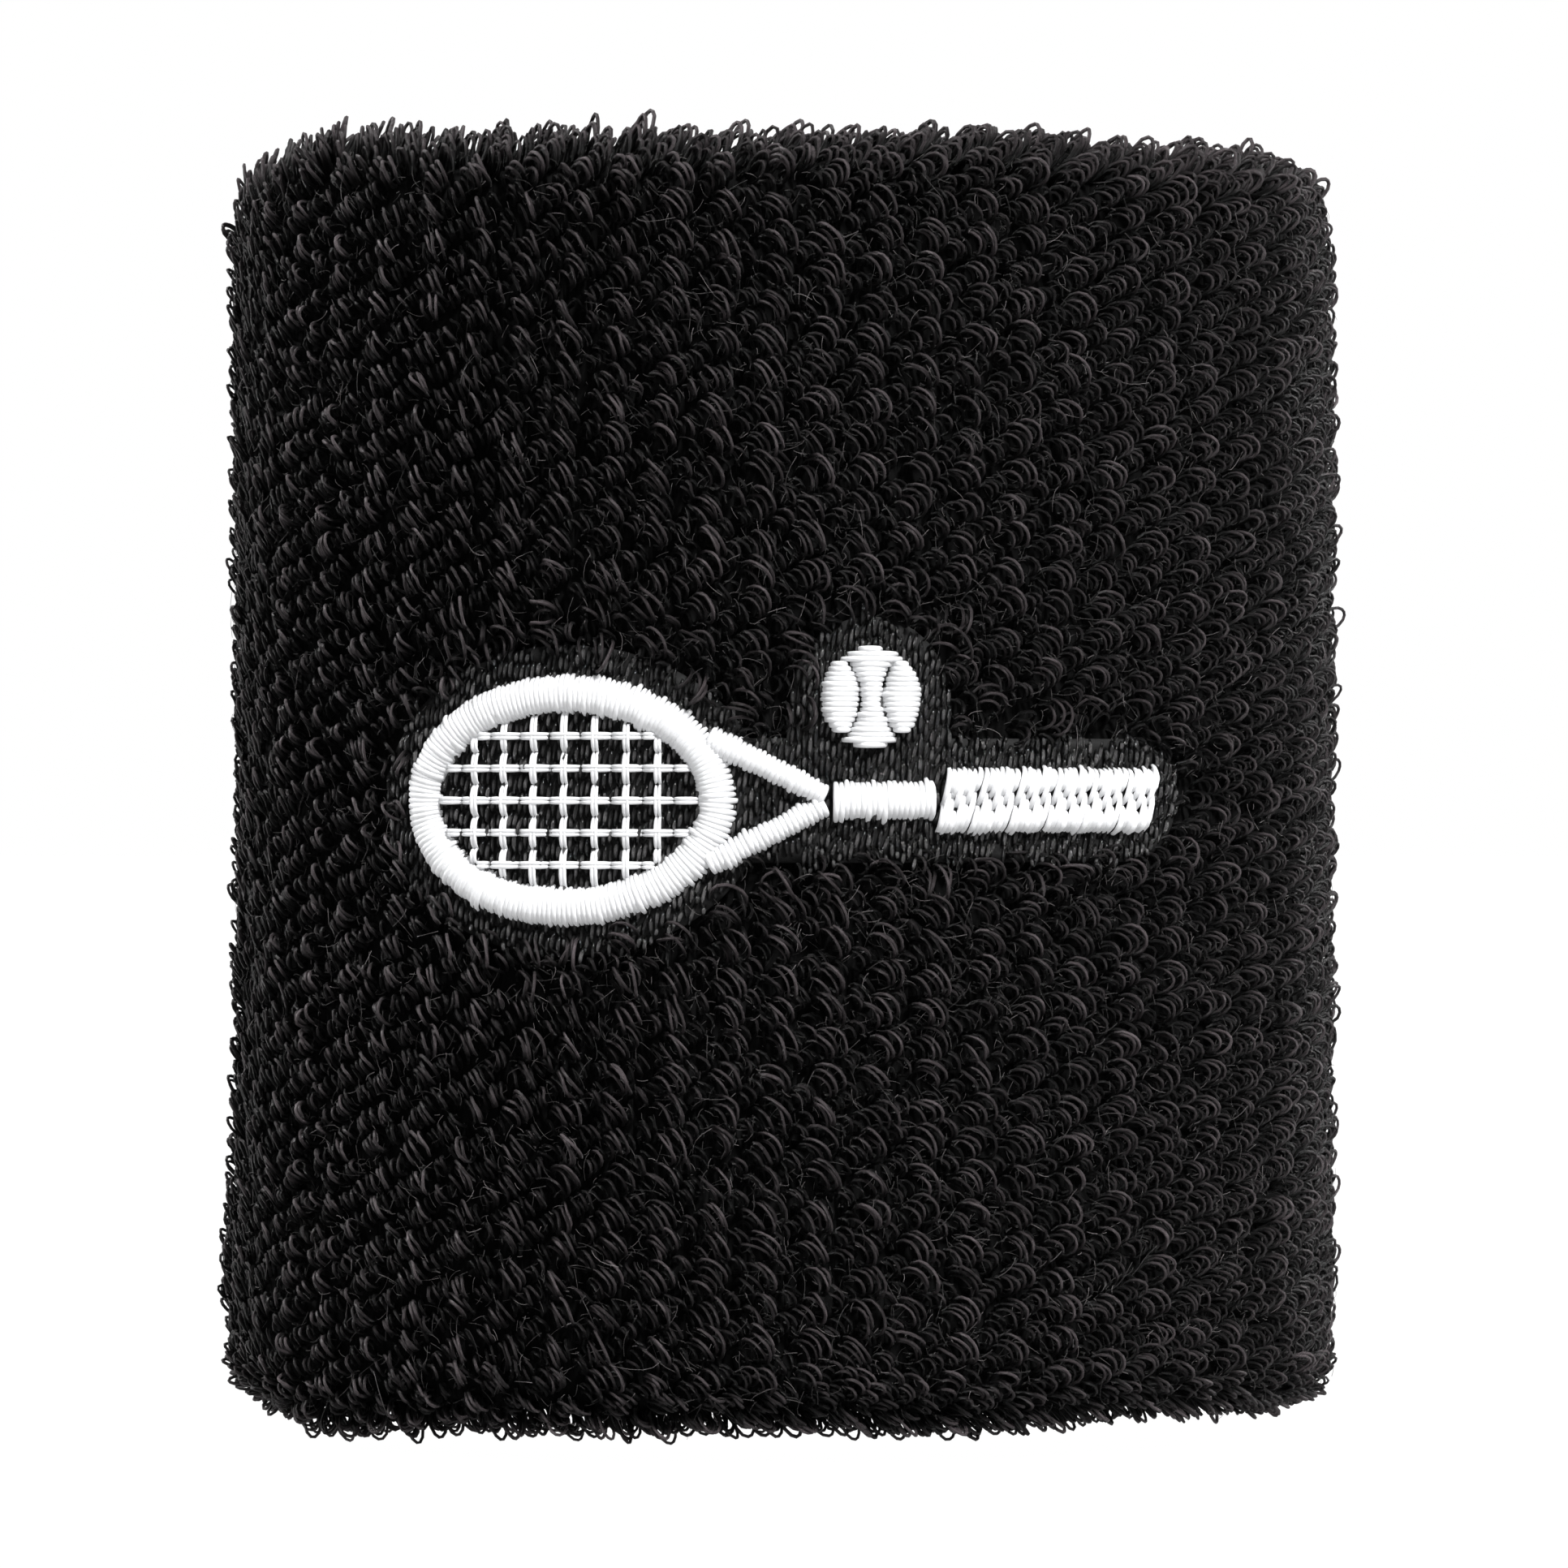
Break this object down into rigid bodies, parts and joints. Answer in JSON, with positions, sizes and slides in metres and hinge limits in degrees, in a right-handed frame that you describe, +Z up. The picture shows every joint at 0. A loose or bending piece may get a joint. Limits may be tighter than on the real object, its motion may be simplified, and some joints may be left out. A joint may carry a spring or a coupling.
{
  "type": "sweat wristband",
  "caption": "Black looped terry sweat wristband: a doubled oval tube with folded rims, elastic inside, and an embroidered racket and ball on the front.",
  "frame": {"origin": "on the surface that the band stands on, under the middle of the lower rim", "axes": "+Z up along the wrist's axis, -Y towards the embroidered front, +X to the right as the front is seen"},
  "size_m": [0.071, 0.046, 0.08],
  "materials": {
    "terry": "black cotton terry loops, matt",
    "elastic": "covered elastic yarn",
    "seam_thread": "textured polyamide thread",
    "backing": "non-woven stabiliser",
    "bobbin_thread": "fine spun polyester",
    "black_thread": "black trilobal polyester embroidery thread, silky",
    "white_thread": "white trilobal polyester embroidery thread, silky"
  },
  "bodies": {
    "root": {"terry_tube": "terry", "elastic_yarn": "elastic", "closing_seam": "seam_thread", "embroidery_backing": "backing", "bobbin_stitches": "bobbin_thread", "ground_stitches": "black_thread", "racket_frame": "white_thread", "racket_strings": "white_thread", "racket_throat": "white_thread", "racket_shaft": "white_thread", "racket_grip": "white_thread", "ball": "white_thread"}
  },
  "joints": []
}
